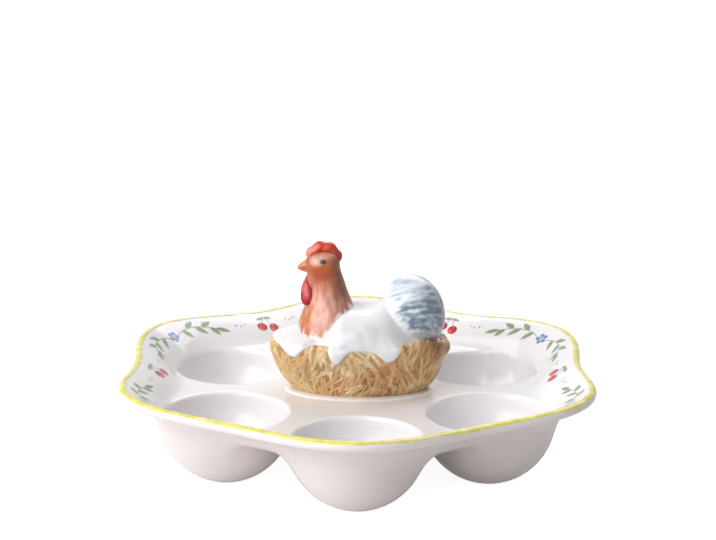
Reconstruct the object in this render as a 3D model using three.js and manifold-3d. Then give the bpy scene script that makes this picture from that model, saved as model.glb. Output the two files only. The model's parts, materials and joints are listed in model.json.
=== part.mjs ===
// Egg plate: a scalloped glazed earthenware dish with a ring of egg wells, whose bowls are its feet,
// and a hen sitting on a straw nest, luted to the middle of the dish. Millimetres, +Z up, standing on Z = 0.
// The hen faces -X, and one well lies at the front, towards -Y.
import * as THREE from 'three';
import { mergeVertices } from 'three/addons/utils/BufferGeometryUtils.js';
import Module from 'manifold-3d';

const wasm = await Module();
wasm.setup();

// Egg wells and the bowls around them. A well's lip fades out towards the rim, between the two fade angles.
const wellCount = 6;
const wellRadius = 27.2;
const lipRound = 2.6;
const lipTurn = 85;
const lipFadeFrom = 60;
const lipFadeTo = 20;
const webWidth = 7.7;
const cupWall = 3.0;
const floorThickness = 4.5;
const footRadius = 8.0;

// Deck and scalloped flange, which flares from the wells' outer walls. Its brow is the soft crease underneath,
// where it turns down into the bowls.
const deckHeight = 30.6;
const deckThickness = 4.5;
const lipLand = 0.7;
const flangeWidth = 17.6;
const flangeRise = 13.4;
const flareInset = 3.1;
const flareRise = 6.6;
const browInset = 11.8;
const browDrop = 10.5;
const lobeRise = 5.8;
const rimWave = 0.9;

// Rolled rim: the roll's radius, the arc that it turns through, and the crease under it
const rimRoll = 2.4;
const rollFrom = -75;
const rollTo = 110;
const rimCrease = 0.7;

// Low plinth that the nest is luted to
const plinthHeight = 1.0;
const plinthMargin = 2.4;

// Straw nest
const nestCentreX = 1.0;
const nestLength = 81.5;
const nestWidth = 49.0;
const nestBaseLength = 61.0;
const nestBaseWidth = 31.5;
const nestHeight = 23.5;
const nestBelly = 18.0;
const nestBulge = 7.2;
const nestCrestInset = 3.0;
const nestCrestRoll = 1.2;

// Hen's body: a low breast at the front, and a full back behind the wings' leading edge, which lies between
// the two wing places. Feather tips lap over the nest, each with its share of the longest one's drop.
const bodyEdge = 1.8;
const bodyEdgeDrop = 0.5;
const bodyEdgeUnder = 1.2;
const breastRise = 2.4;
const saddleRise = 12.8;
const wingFrontX = -16.5;
const wingBackX = -7.5;
const bodyDepth = 9.0;
const humpAcross = 0.6;
const humpAlong = 0.4;
const featherLap = 1.2;
const featherThickness = 2.6;
const featherSpread = 11.0;
const featherDrop = 7.4;
const featherTips = [
  { angle: 70, share: 0.82 },
  { angle: 105, share: 1.0 },
  { angle: 135, share: 0.73 },
];

// Neck and head, strung on stations: up is a share of the crown's height over the nest's crest, front and back
// are shares of the bib's reach along X, and half is a share of the bib's half width. The throat is slimmer in
// front, by the share throatSlim, above a soft start between the two throat heights.
const crownHeight = 41.2;
const bibReach = 27.0;
const bibHalfWidth = 20.0;
const throatSlim = 0.3;
const throatFrom = 8.0;
const throatTo = 18.0;
const neckStations = [
  { up: -0.04, front: -0.93, back: 0.11, half: 0.85 },
  { up: 0.06, front: -0.98, back: 0.11, half: 0.91 },
  { up: 0.18, front: -1.0, back: 0.07, half: 0.78 },
  { up: 0.37, front: -0.9, back: -0.07, half: 0.58 },
  { up: 0.6, front: -0.84, back: -0.2, half: 0.445 },
  { up: 0.77, front: -0.88, back: -0.285, half: 0.41 },
  { up: 0.88, front: -0.885, back: -0.31, half: 0.39 },
  { up: 0.96, front: -0.8, back: -0.355, half: 0.29 },
  { up: 1.0, front: -0.63, back: -0.52, half: 0.08 },
];

// Comb: a wavy crest along the top of the head
const combCentreX = -15.8;
const combCentreHeight = 36.0;
const combRadius = 9.5;
const combWaves = 4;
const combWaveDepth = 0.3;
const combRoot = 5.6;
const combFrontAngle = 158;
const combBackAngle = 3;
const combThickness = 8.4;
const combEdge = 1.6;

// Beak
const beakTipX = -27.6;
const beakHeight = 33.2;
const beakRoot = 6.0;
const beakBow = 3.6;
const beakRadius = 3.0;

// Wattles
const wattleX = -23.2;
const wattleTop = 29.0;
const wattleLength = 13.0;
const wattleFullest = 2.4;
const wattleWidth = 5.0;
const wattleThickness = 3.2;
const wattleSpread = 4.3;

// Tail: a round upright fan of feathers
const tailCentreX = 25.4;
const tailCentreHeight = 12.0;
const tailHalfLength = 14.6;
const tailHalfHeight = 17.7;
const tailHalfWidth = 13.0;
const tailLean = 1.4;

// Seam that the luted pieces keep from each other
const seam = 0.3;

// Steps round each kind of piece
const dishSteps = 84;
const wellSteps = 24;
const nestSteps = 36;
const featherSteps = 72;
const headSteps = 20;
const trimSteps = 12;

// Places worked out from the sizes above
const firstWell = -Math.PI / 2;
const wellMouth = wellRadius + lipRound;
const wellPitch = (2 * wellMouth + webWidth) / (2 * Math.sin(Math.PI / wellCount));
const flangeFoot = wellPitch + wellRadius + lipLand - lobeRise;
const rimRadius = flangeFoot + flangeWidth;
const rimHeight = deckHeight + flangeRise;
const underDeck = deckHeight - deckThickness;
const midDeck = deckHeight - deckThickness / 2;
const cupRadius = wellRadius + cupWall;
const cupCentre = Math.sqrt(cupRadius ** 2 - footRadius ** 2);
const nestBase = deckHeight + plinthHeight + seam;
const nestCrest = nestBase + nestHeight;
const crestLength = nestLength / 2 - nestCrestInset;
const crestWidth = nestWidth / 2 - nestCrestInset;

const { lerp, smoothstep, degToRad, radToDeg } = THREE.MathUtils;

// Turns a geometry into a solid. Points closer than the weld distance are one corner.
function solid(geometry) {
  const weld = 1e-4;
  geometry.deleteAttribute('normal');
  geometry.deleteAttribute('uv');
  const welded = mergeVertices(geometry, weld);
  const index = welded.index.array;
  const corners = [];
  for (let i = 0; i < index.length; i += 3) {
    const [a, b, c] = index.slice(i, i + 3);
    if (a !== b && b !== c && c !== a) {
      corners.push(a, b, c);
    }
  }
  return new wasm.Manifold(new wasm.Mesh({
    numProp: 3,
    vertProperties: Float32Array.from(welded.attributes.position.array),
    triVerts: Uint32Array.from(corners),
  }));
}

// Revolves a profile of [radius, height] points about Z, then lets place move each point.
// place takes radius, height and angle from +X, and gives back x, y and z.
function turned(profile, steps, place) {
  const points = profile.map(([radius, height]) => new THREE.Vector2(radius, height));
  const geometry = new THREE.LatheGeometry(points, steps);
  geometry.rotateX(Math.PI / 2);
  const position = geometry.attributes.position;
  for (let i = 0; i < position.count; i += 1) {
    const x = position.getX(i);
    const y = position.getY(i);
    const moved = place(Math.hypot(x, y), position.getZ(i), Math.atan2(y, x));
    position.setXYZ(i, ...moved);
  }
  return solid(geometry);
}

// Points of an elliptical arc in the profile plane, with angles in degrees from the outward direction
function arc([radius, height], across, up, from, to, steps) {
  const curve = new THREE.EllipseCurve(radius, height, across, up, degToRad(from), degToRad(to), to < from);
  return curve.getPoints(steps).map((p) => [p.x, p.y]);
}

// Points of a bow from one end to the other, drawn towards a control point
function bow(from, control, to, steps) {
  const ends = [from, control, to].map((p) => new THREE.Vector2(...p));
  return new THREE.QuadraticBezierCurve(...ends).getPoints(steps).map((p) => [p.x, p.y]);
}

const round = (radius, height, angle) => [radius * Math.cos(angle), radius * Math.sin(angle), height];

// Dish's deck and flange: the outline swings out at each well and in between them
function dishTray() {
  const lobe = (angle) => Math.cos(wellCount * (angle - firstWell));
  const place = (radius, height, angle) => {
    const swing = lobeRise * smoothstep(radius, flangeFoot / 2, flangeFoot);
    const lift = rimWave * smoothstep(radius, flangeFoot, rimRadius);
    return round(radius + swing * lobe(angle), height + lift * lobe(angle), angle);
  };
  const crease = [rimRadius - rimCrease, rimHeight - 2 * rimRoll - rimCrease];
  const roll = arc([rimRadius, rimHeight - rimRoll], rimRoll, rimRoll, rollFrom, rollTo, 5);
  const inside = bow(
    [rimRadius - rimRoll, rimHeight - rimRoll + rimCrease / 2],
    [flangeFoot + flareInset, deckHeight + flareRise],
    [flangeFoot, deckHeight],
    5,
  );
  const brow = [rimRadius - browInset, rimHeight - browDrop];
  const under = [[0, underDeck], [flangeFoot / 2, underDeck], [flangeFoot + cupWall / 2, underDeck], brow, crease];
  const deck = [[flangeFoot / 2, deckHeight], [0, deckHeight]];
  return turned([...under, ...roll, ...inside, ...deck], dishSteps, place);
}

// Bowl round a well: part of a ball, cut flat as a foot
function cup() {
  const from = -radToDeg(Math.asin(cupCentre / cupRadius));
  const to = radToDeg(Math.asin((midDeck - cupCentre) / cupRadius));
  const ball = arc([0, cupCentre], cupRadius, cupRadius, from, to, 6);
  return turned([[0, 0], ...ball, [0, ball.at(-1)[1]]], wellSteps, round);
}

// Hollow for one egg, with a rounded lip that fades out in the outward direction
function well(outward) {
  const place = (radius, height, angle) => {
    const facing = Math.cos(angle - outward);
    const fade = smoothstep(facing, Math.cos(degToRad(lipFadeFrom)), Math.cos(degToRad(lipFadeTo)));
    const flare = Math.max(radius - wellRadius, 0) * (1 - fade);
    return round(Math.min(radius, wellRadius) + flare, height, angle);
  };
  const shoulder = deckHeight - lipRound;
  const bowl = arc([0, shoulder], wellRadius, shoulder - floorThickness, -90, 0, 6);
  const lip = arc([wellMouth, shoulder], lipRound, lipRound, 180, 180 - lipTurn, 3).slice(1);
  return turned([...bowl, ...lip, [wellMouth, nestBase], [0, nestBase]], wellSteps, place);
}

// Oval plinth under the nest, with a sloping edge. The profile's radius is the margin round the nest's base.
function plinth() {
  const place = (margin, height, angle) => {
    const inner = margin > 0 ? 1 : 0;
    const x = inner * (nestBaseLength / 2 + margin) * Math.cos(angle);
    const y = inner * (nestBaseWidth / 2 + margin) * Math.sin(angle);
    return [nestCentreX + x, y, height];
  };
  const foot = plinthMargin + plinthHeight;
  const top = deckHeight + plinthHeight;
  return turned([[0, midDeck], [foot, midDeck], [foot, deckHeight], [plinthMargin, top], [0, top]], nestSteps, place);
}

function dish() {
  const outwards = [];
  for (let i = 0; i < wellCount; i += 1) {
    outwards.push(firstWell + (2 * Math.PI * i) / wellCount);
  }
  let made = dishTray().add(plinth());
  for (const outward of outwards) {
    made = made.add(cup().translate(round(wellPitch, 0, outward)));
  }
  for (const outward of outwards) {
    made = made.subtract(well(outward).translate(round(wellPitch, 0, outward)));
  }
  return made;
}

// Nest: an oval bowl of straw, narrow at the base, with a round crest. grow swells it by a clearance.
function nestForm(grow = 0) {
  const belly = nestBase + nestBelly;
  const place = (radius, height, angle) => {
    const up = smoothstep(height, nestBase, belly);
    const ratio = lerp(nestBaseWidth / nestBaseLength, nestWidth / nestLength, up);
    const out = radius > 0 ? grow : 0;
    const lift = height > belly ? grow : 0;
    const x = (radius + out) * Math.cos(angle);
    const y = (radius * ratio + out) * Math.sin(angle);
    return [nestCentreX + x, y, height + lift];
  };
  const wall = bow(
    [nestBaseLength / 2, nestBase],
    [nestLength / 2 - nestCrestInset, nestBase + nestBulge],
    [nestLength / 2, belly],
    5,
  );
  const crest = bow(
    [nestLength / 2, belly],
    [nestLength / 2 + nestCrestRoll, nestCrest],
    [crestLength, nestCrest],
    4,
  );
  return turned([[0, nestBase], ...wall, ...crest.slice(1), [0, nestCrest]], nestSteps, place);
}

// How far the feathers lap over the nest at an angle, from 0 to 1, and how far they hang there
function featherAt(angle) {
  const around = Math.abs(radToDeg(Math.atan2(Math.sin(angle), Math.cos(angle))));
  const nearness = featherTips.map((tip) => Math.exp(-(((around - tip.angle) / featherSpread) ** 2)));
  const lap = Math.max(...nearness);
  const drop = featherDrop * Math.max(...nearness.map((near, i) => near * featherTips[i].share));
  return { lap, drop };
}

// Rows of the body's skin, from below the nest's crest to the top of the hump. share is the place from the
// middle to the crest, and height is from the crest, or on the hump where none is given. Where a feather tip
// hangs, a row lies lapReach out from the crest instead, and lapSag times the tip's drop below it.
function bodyRows() {
  const lapReach = nestCrestInset + featherLap;
  const edge = [
    { share: 0, height: -bodyDepth },
    { share: 0.7, height: -bodyDepth },
    { share: 0.93, height: -bodyEdgeUnder, lapReach: lapReach - featherThickness, lapSag: 1.06 },
    { share: 1, height: -bodyEdgeDrop, lapReach, lapSag: 1 },
    { share: 0.98, lapReach, lapSag: 0.45 },
    { share: 0.94, lapReach: lapReach / 2, lapSag: -0.22 },
    { share: 0.87, lapReach: -nestCrestInset, lapSag: -0.42 },
  ];
  return [...edge, ...[0.76, 0.62, 0.48, 0.34, 0.2, 0].map((share) => ({ share }))];
}

function bodyForm(grow = 0) {
  const rows = bodyRows();
  const hump = (share, angle) => {
    const ahead = share * Math.cos(angle);
    const narrowing = Math.max(1 - ahead ** 2, Number.EPSILON);
    const aside = Math.min((share * Math.sin(angle)) ** 2 / narrowing, 1);
    const wing = smoothstep(nestCentreX + crestLength * ahead, wingFrontX, wingBackX);
    const ridge = lerp(breastRise, saddleRise, wing) * narrowing ** humpAlong;
    return bodyEdge + ridge * (1 - aside) ** humpAcross;
  };
  const place = (radius, level, angle) => {
    const { share, height, lapReach, lapSag } = rows[Math.round(level)];
    const { lap, drop } = featherAt(angle);
    const plain = height ?? hump(share, angle);
    const hangs = lapReach !== undefined;
    const up = hangs ? lerp(plain, -drop * lapSag, lap) : plain;
    const along = hangs ? lerp(share * crestLength, crestLength + lapReach, lap) : share * crestLength;
    const across = hangs ? lerp(share * crestWidth, crestWidth + lapReach, lap) : share * crestWidth;
    const out = share > 0 ? grow : 0;
    const lift = height === undefined ? grow : -grow;
    return [
      nestCentreX + (along + out) * Math.cos(angle),
      (across + out) * Math.sin(angle),
      nestCrest + up + lift,
    ];
  };
  const profile = rows.map((row, level) => [row.share > 0 ? 1 : 0, level]);
  return turned(profile, featherSteps, place);
}

// Neck and head: ovals strung along the front and back outlines. grow swells it by a clearance.
function neckForm(grow = 0) {
  const strung = (size, key) => new THREE.SplineCurve(
    neckStations.map((station) => new THREE.Vector2(crownHeight * station.up, size * station[key])),
  );
  const front = strung(bibReach, 'front');
  const back = strung(bibReach, 'back');
  const width = strung(bibHalfWidth, 'half');
  const rows = (neckStations.length - 1) * 2;
  const place = (radius, level, angle) => {
    const row = Math.round(level);
    const t = row / rows;
    const foremost = front.getPoint(t);
    const rearmost = back.getPoint(t);
    const out = radius > 0 ? 1 : 0;
    const end = (row === rows ? grow : 0) - (row === 0 ? grow : 0);
    const slim = throatSlim * smoothstep(foremost.x, throatFrom, throatTo);
    const pinch = 1 - slim * ((1 - Math.cos(angle)) / 2) ** 2;
    return [
      (foremost.y + rearmost.y) / 2 + out * ((rearmost.y - foremost.y) / 2 + grow) * Math.cos(angle),
      out * (width.getPoint(t).y * pinch + grow) * Math.sin(angle),
      nestCrest + foremost.x + end,
    ];
  };
  const profile = [[0, 0]];
  for (let level = 0; level <= rows; level += 1) {
    profile.push([1, level]);
  }
  return turned([...profile, [0, rows]], headSteps, place);
}

// Comb: a thick wavy plate standing on the head's middle line
function combForm() {
  const at = (radius, angle) => [
    combCentreX + radius * Math.cos(degToRad(angle)),
    nestCrest + combCentreHeight + radius * Math.sin(degToRad(angle)),
  ];
  const shape = new THREE.Shape();
  shape.moveTo(...at(combRoot, combFrontAngle));
  const steps = combWaves * 6;
  for (let i = 0; i <= steps; i += 1) {
    const wave = combWaveDepth * Math.cos((2 * Math.PI * combWaves * i) / steps);
    shape.lineTo(...at(combRadius - combEdge - wave, lerp(combFrontAngle, combBackAngle, i / steps)));
  }
  shape.lineTo(...at(combRoot, combBackAngle));
  shape.closePath();
  const geometry = new THREE.ExtrudeGeometry(shape, {
    depth: combThickness - 2 * combEdge,
    bevelThickness: combEdge,
    bevelSize: combEdge,
    bevelSegments: 2,
  });
  geometry.translate(0, 0, combEdge - combThickness / 2);
  geometry.rotateX(Math.PI / 2);
  return solid(geometry);
}

// Beak: a short blunt cone
function beakForm() {
  const place = (radius, along, angle) => [
    beakTipX + beakRoot - along,
    -radius * Math.cos(angle),
    nestCrest + beakHeight + radius * Math.sin(angle),
  ];
  return turned([[0, 0], ...bow([beakRadius, 0], [beakRadius, beakBow], [0, beakRoot], 5)], trimSteps, place);
}

// Wattle: a flat drop, narrow where it leaves the beak and round below
function wattleForm(side) {
  const outline = bow([0, 0], [1, wattleFullest], [0, wattleLength], 9);
  const widest = Math.max(...outline.map(([radius]) => radius));
  const place = (radius, up, angle) => [
    wattleX + (radius / widest) * (wattleWidth / 2) * Math.cos(angle),
    side * wattleSpread + (radius / widest) * (wattleThickness / 2) * Math.sin(angle),
    nestCrest + wattleTop - wattleLength + up,
  ];
  return turned(outline, trimSteps, place);
}

// Tail: an upright egg shape that leans back over the end of the nest
function tailForm() {
  const place = (radius, up, angle) => [
    tailCentreX - up * tailLean + radius * tailHalfLength * Math.cos(angle),
    radius * tailHalfWidth * Math.sin(angle),
    nestCrest + tailCentreHeight + up * tailHalfHeight,
  ];
  return turned(arc([0, 0], 1, 1, -90, 90, 10), headSteps, place);
}

function piece(name, form, color, roughness) {
  const mesh = form.getMesh();
  const geometry = new THREE.BufferGeometry();
  geometry.setAttribute('position', new THREE.BufferAttribute(mesh.vertProperties, 3));
  geometry.setIndex(new THREE.BufferAttribute(mesh.triVerts, 1));
  geometry.computeVertexNormals();
  const made = new THREE.Mesh(geometry, new THREE.MeshStandardMaterial({ color, roughness, metalness: 0 }));
  made.name = name;
  return made;
}

const bodySeat = bodyForm(seam);
const neckSeat = neckForm(seam);

const hen = new THREE.Group();
hen.add(piece('nest', nestForm().subtract(bodySeat), '#c39a60', 0.35));
hen.add(piece('hen_body', bodyForm(), '#f4f3f3', 0.15));
hen.add(piece('hen_neck', neckForm().subtract(bodySeat), '#c0693f', 0.2));
hen.add(piece('hen_comb', combForm().subtract(neckSeat), '#d63a2c', 0.2));
hen.add(piece('hen_beak', beakForm().subtract(neckSeat), '#e08a4c', 0.2));
hen.add(piece('hen_wattle_left', wattleForm(-1).subtract(neckSeat), '#cc1f33', 0.2));
hen.add(piece('hen_wattle_right', wattleForm(1).subtract(neckSeat), '#cc1f33', 0.2));
hen.add(piece('hen_tail', tailForm().subtract(bodySeat).subtract(nestForm(seam)), '#b9c6d3', 0.15));

const eggPlate = new THREE.Group();
eggPlate.add(piece('dish', dish(), '#f2eeeb', 0.12));
eggPlate.add(hen);

export default eggPlate;
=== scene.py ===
import json
import math

import bmesh
import bpy
import numpy as np
from mathutils import Matrix, Vector, noise


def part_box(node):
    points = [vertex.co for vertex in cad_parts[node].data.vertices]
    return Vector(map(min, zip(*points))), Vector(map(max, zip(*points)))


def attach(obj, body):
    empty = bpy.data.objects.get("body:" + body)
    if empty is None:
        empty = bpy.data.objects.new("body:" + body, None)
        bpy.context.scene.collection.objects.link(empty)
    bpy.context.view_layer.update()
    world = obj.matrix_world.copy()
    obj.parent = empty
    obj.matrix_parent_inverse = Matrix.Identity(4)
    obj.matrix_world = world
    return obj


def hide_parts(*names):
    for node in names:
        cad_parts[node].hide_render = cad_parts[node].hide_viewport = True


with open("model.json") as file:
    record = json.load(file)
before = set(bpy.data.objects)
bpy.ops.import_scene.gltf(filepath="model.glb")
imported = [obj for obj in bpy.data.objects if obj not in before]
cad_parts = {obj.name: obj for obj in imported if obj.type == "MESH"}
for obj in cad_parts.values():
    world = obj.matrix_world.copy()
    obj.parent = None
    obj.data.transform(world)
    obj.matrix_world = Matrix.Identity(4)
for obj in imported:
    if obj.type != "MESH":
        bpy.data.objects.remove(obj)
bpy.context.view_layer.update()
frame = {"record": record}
scene = bpy.context.scene

# The dish
# One slip-cast piece of white earthenware: a flat deck with a ring of round egg wells, whose bowls are the
# feet that it stands on, and a flared flange with a scalloped, rolled rim. It is glazed all over by dipping.
MM = 0.001


def node_box(name):
    """Lowest and highest corner of a CAD node, in millimetres."""
    low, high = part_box(name)
    return np.array(low) / MM, np.array(high) / MM


feet = np.array([mount["pos_m"] for mount in frame["record"]["mounts"]]) / MM
well_count = len(feet)
well_pitch = math.hypot(*feet[0, :2])
first_well = math.atan2(feet[0, 1], feet[0, 0])
half_sector = math.pi / well_count
well_turns = first_well + 2 * half_sector * np.arange(well_count)

nest_low, nest_high = node_box("nest")
plinth_height, seam = 1.0, 0.3
deck_height = nest_low[2] - plinth_height - seam
deck_underside = deck_height - 4.5
well_radius, well_floor = 27.2, 4.5
well_brim = deck_height - 2.6
wall_stop = math.radians(-9)
lip_width = 2.3
cup_radius = 30.2
foot_radius, foot_flat = 8.0, 7.2
cup_centre = math.sqrt(cup_radius ** 2 - foot_radius ** 2)
cup_stop = math.radians(60)
cup_fillet = 10.5
lobe_rise = 5.8
rim_wave = 0.9
roll_radius = 2.4
roll_inside = math.radians(120)
roll_groove = math.radians(-130)
flange_foot = 89.4
flange_control = (92.6, deck_height + 6.8)
brow = (95.4, deck_height + 3.2)
brow_foot = 90.9
foot_blur, brow_blur = 1.7, 2.4
rim_columns, side_columns = 57, 40
wall_rows, lip_rows, deck_rows = 20, 9, 18
cup_rows, fillet_rows, under_rows = 16, 7, 14
roll_rows = 19
weld_gap = 0.004
dish_high = node_box("dish")[1]
roll_centre = (dish_high[1] - lobe_rise - roll_radius, dish_high[2] - rim_wave - roll_radius)


def smoothstep(value, start, end):
    share = np.clip((value - start) / (end - start), 0, 1)
    return share * share * (3 - 2 * share)


def shares(count):
    """A column of even steps from 0 to 1."""
    return np.linspace(0, 1, count)[:, None]


def bow(start, control, end, count):
    """Points along a curve that leaves start towards control and reaches end from it."""
    t = shares(count)
    return (1 - t) ** 2 * np.array(start) + 2 * t * (1 - t) * np.array(control) + t * t * np.array(end)


def around(centre, radius, turns):
    """Points on a circle of a profile, as radius and height."""
    return np.c_[centre[0] + radius * np.cos(turns), centre[1] + radius * np.sin(turns)]


def softened(corners, blur):
    """A profile's place and height tables, with its corners rounded over about blur millimetres."""
    step = 0.1
    corners = np.vstack([corners, 2 * corners[-1] - corners[-2]])
    place = np.arange(corners[0, 0], corners[-1, 0], step)
    height = np.interp(place, corners[:, 0], corners[:, 1])
    spread = np.arange(-3 * blur, 3 * blur + step, step)
    weight = np.exp(-0.5 * (spread / blur) ** 2)
    padded = np.pad(height, len(weight) // 2, "edge")
    return place, np.convolve(padded, weight / weight.sum(), "same")[len(weight) // 2:][:len(place)]


roll_top = around(roll_centre, roll_radius, np.array([roll_inside]))[0]
roll_under = around(roll_centre, roll_radius, np.array([roll_groove]))[0]
flange_bow = bow((flange_foot, deck_height), flange_control, roll_top, 24)
inner_profile = softened(np.vstack([[(0, deck_height)], flange_bow]), foot_blur)
under_profile = softened(
    np.array([(0, deck_underside), (brow_foot, deck_underside), brow, roll_under]), brow_blur
)


def lobe(angle):
    """1 at the middle of a rim lobe, -1 in a notch. The angle is from a well's own direction."""
    return np.cos(well_count * angle)


def swing(base, angle):
    """How far the scallop pushes a profile point out."""
    return lobe_rise * smoothstep(base, flange_foot / 2, flange_foot) * lobe(angle)


def lift(base, angle):
    """How far the rim's wave lifts a profile point."""
    return rim_wave * smoothstep(base, flange_foot, roll_centre[0]) * lobe(angle)


def scalloped(base, height, angle):
    """A profile point carried round the scalloped plan."""
    radius = base + swing(base, angle)
    return np.stack([radius * np.cos(angle), radius * np.sin(angle), height + lift(base, angle)], -1)


def height_at(points, profile):
    """Height of the tray over plan points, on its inner or under profile. The rounds undo the scallop."""
    rounds = 14
    angle = np.arctan2(points[..., 1], points[..., 0])
    radius = np.hypot(points[..., 0], points[..., 1])
    base = radius
    for _ in range(rounds):
        base = radius - swing(base, angle)
    return np.interp(base, *profile) + lift(base, angle)


def sector_ends(edge):
    """Ends of the rays from a well's centre to the rim and then to both seams of its own sector."""
    angle = np.linspace(-half_sector, half_sector, rim_columns)
    rim = scalloped(np.full(rim_columns, edge), 0, angle)[:, :2]
    corner = math.atan2(rim[-1, 1], rim[-1, 0] - well_pitch)
    turn = np.linspace(corner, math.pi, side_columns + 1)[1:]
    reach = well_pitch * math.sin(half_sector) / np.sin(turn - half_sector)
    sides = np.c_[well_pitch + reach * np.cos(turn), reach * np.sin(turn)]
    return np.vstack([rim, sides, sides[-2::-1] * (1, -1)])


def sector_skin(ends, profile, wall, wall_way, brim, blend_rows, tray_rows):
    """Rows from a well's centre along its wall, round a soft edge of brim, and over the tray to the ends."""
    way = ends - (well_pitch, 0)
    reach = np.hypot(*way.T)
    way = way / reach[:, None]

    def over(distance):
        plan = np.array([well_pitch, 0]) + distance[..., None] * way
        return plan, height_at(plan, profile)

    edge_limit, probe, roundness = 0.8, 0.5, 1.25
    start = wall[-1]
    far = start[0] + np.minimum(brim, edge_limit * (reach - start[0]))
    far_height = over(far)[1]
    slope = (over(far + probe)[1] - over(far - probe)[1]) / (2 * probe)
    far_way = np.stack([np.ones_like(slope), slope], -1)
    far_way /= np.hypot(*far_way.T)[:, None]
    pull = roundness * np.hypot(far - start[0], far_height - start[1])
    t = shares(blend_rows + 1)[1:]
    turn_in, turn_out = t * (1 - t) ** 2 * pull, t * t * (t - 1) * pull
    ease = t * t * (3 - 2 * t)
    edge_distance = start[0] * (1 - ease) + far * ease + turn_in * wall_way[0] + turn_out * far_way[:, 0]
    edge_height = start[1] * (1 - ease) + far_height * ease + turn_in * wall_way[1] + turn_out * far_way[:, 1]
    tray_distance = far + (reach - far) * shares(tray_rows + 1)[1:]
    distance = np.vstack([np.repeat(wall[:, :1], len(ends), 1), edge_distance, tray_distance])
    height = np.vstack([np.repeat(wall[:, 1:], len(ends), 1), edge_height, over(tray_distance)[1]])
    return np.concatenate([over(distance)[0], height[..., None]], -1)


def turned(grid, angle):
    """A grid turned about the plate's upright axis."""
    x, y, z = np.moveaxis(grid, -1, 0)
    return np.stack([
        x * math.cos(angle) - y * math.sin(angle), x * math.sin(angle) + y * math.cos(angle), z
    ], -1)


def grid_faces(rows, columns, closed, first):
    """Quads between the rows of a grid, round to the first column again where it is closed."""
    row, column = np.mgrid[0:rows - 1, 0:columns if closed else columns - 1]
    after = (column + 1) % columns
    here = first + row * columns
    above = here + columns
    return np.stack([here + column, here + after, above + after, above + column], -1).reshape(-1, 4).tolist()


def make_piece(name, patches, material, paint=None):
    """A smooth mesh of (grid, closed) patches on the object's body. paint has a linear colour for each point."""
    points, faces = np.vstack([grid.reshape(-1, 3) for grid, _ in patches]), []
    first = 0
    for grid, closed in patches:
        faces += grid_faces(*grid.shape[:2], closed, first)
        first += grid.shape[0] * grid.shape[1]
    mesh = bpy.data.meshes.new(name)
    mesh.from_pydata((points * MM).tolist(), [], faces)
    if paint is not None:
        layer = mesh.color_attributes.new("paint", "FLOAT_COLOR", "POINT")
        layer.data.foreach_set("color", np.c_[paint, np.ones(len(paint))].ravel())
    shell = bmesh.new()
    shell.from_mesh(mesh)
    bmesh.ops.remove_doubles(shell, verts=shell.verts, dist=weld_gap * MM)
    bmesh.ops.recalc_face_normals(shell, faces=shell.faces)
    for face in shell.faces:
        face.smooth = True
    shell.to_mesh(mesh)
    shell.free()
    mesh.materials.append(material)
    made = bpy.data.objects.new(name, mesh)
    scene.collection.objects.link(made)
    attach(made, "root")
    return made


def linear(code):
    """An sRGB hex colour as linear light."""
    parts = np.array([int(code[i:i + 2], 16) for i in (1, 3, 5)]) / 255
    return np.where(parts <= 0.04045, parts / 12.92, ((parts + 0.055) / 1.055) ** 2.4)


def rgba(code):
    return (*linear(code), 1)


def add_node(tree, kind, sockets=None, **settings):
    """Adds a shader node with its settings. A socket is given a value, or another node's output to link."""
    made = tree.nodes.new(kind)
    for key, value in settings.items():
        setattr(made, key, value)
    for key, value in (sockets or {}).items():
        if isinstance(value, bpy.types.NodeSocket):
            tree.links.new(value, made.inputs[key])
        else:
            made.inputs[key].default_value = value
    return made


def per_metre(millimetres):
    """Texture scale for a pattern of this size."""
    return 1 / (millimetres * MM)


def glassy(name, coat):
    """A material that bends light as glass does. coat adds its nodes and gives colour, roughness and normal."""
    glass_ior = 1.5
    material = bpy.data.materials.new(name)
    material.use_nodes = True
    tree = material.node_tree
    shader = tree.nodes["Principled BSDF"]
    place = add_node(tree, "ShaderNodeTexCoord").outputs["Object"]
    for key, output in zip(("Base Color", "Roughness", "Normal"), coat(tree, place)):
        tree.links.new(output, shader.inputs[key])
    shader.inputs["IOR"].default_value = glass_ior
    return material


# Tin-white glaze on earthenware, dipped and fired: a clear glassy skin over a warm white body. The eye sees
# sharp but soft-edged lights, a faint waviness where the glaze ran, and bare, dull flats under the feet.
def white_glaze(tree, place):
    cloud_size, run_size = 35, 14
    bare_height, glazed_height = 0.1, 0.3
    cloud = add_node(tree, "ShaderNodeTexNoise", {"Vector": place, "Scale": per_metre(cloud_size), "Detail": 3})
    tint = add_node(tree, "ShaderNodeMixRGB", {
        "Fac": cloud.outputs["Fac"], "Color1": rgba("#F1EFF0"), "Color2": rgba("#EBE7E8"),
    })
    height = add_node(tree, "ShaderNodeSeparateXYZ", {"Vector": place}).outputs["Z"]
    bare = add_node(tree, "ShaderNodeMapRange", {
        "Value": height, "From Min": bare_height * MM, "From Max": glazed_height * MM, "To Min": 1.0, "To Max": 0.0,
    }).outputs["Result"]
    colour = add_node(tree, "ShaderNodeMixRGB", {
        "Fac": bare, "Color1": tint.outputs["Color"], "Color2": rgba("#E2D8C8"),
    })
    sheen = add_node(tree, "ShaderNodeMapRange", {
        "Value": cloud.outputs["Fac"], "To Min": 0.09, "To Max": 0.15,
    })
    dull = add_node(tree, "ShaderNodeMath", {0: sheen.outputs["Result"], 1: bare}, operation="MAXIMUM")
    run = add_node(tree, "ShaderNodeTexNoise", {"Vector": place, "Scale": per_metre(run_size), "Detail": 2})
    wave = add_node(tree, "ShaderNodeBump", {
        "Strength": 0.12, "Distance": 0.4 * MM, "Height": run.outputs["Fac"],
    })
    return colour.outputs["Color"], dull.outputs["Value"], wave.outputs["Normal"]


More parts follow.
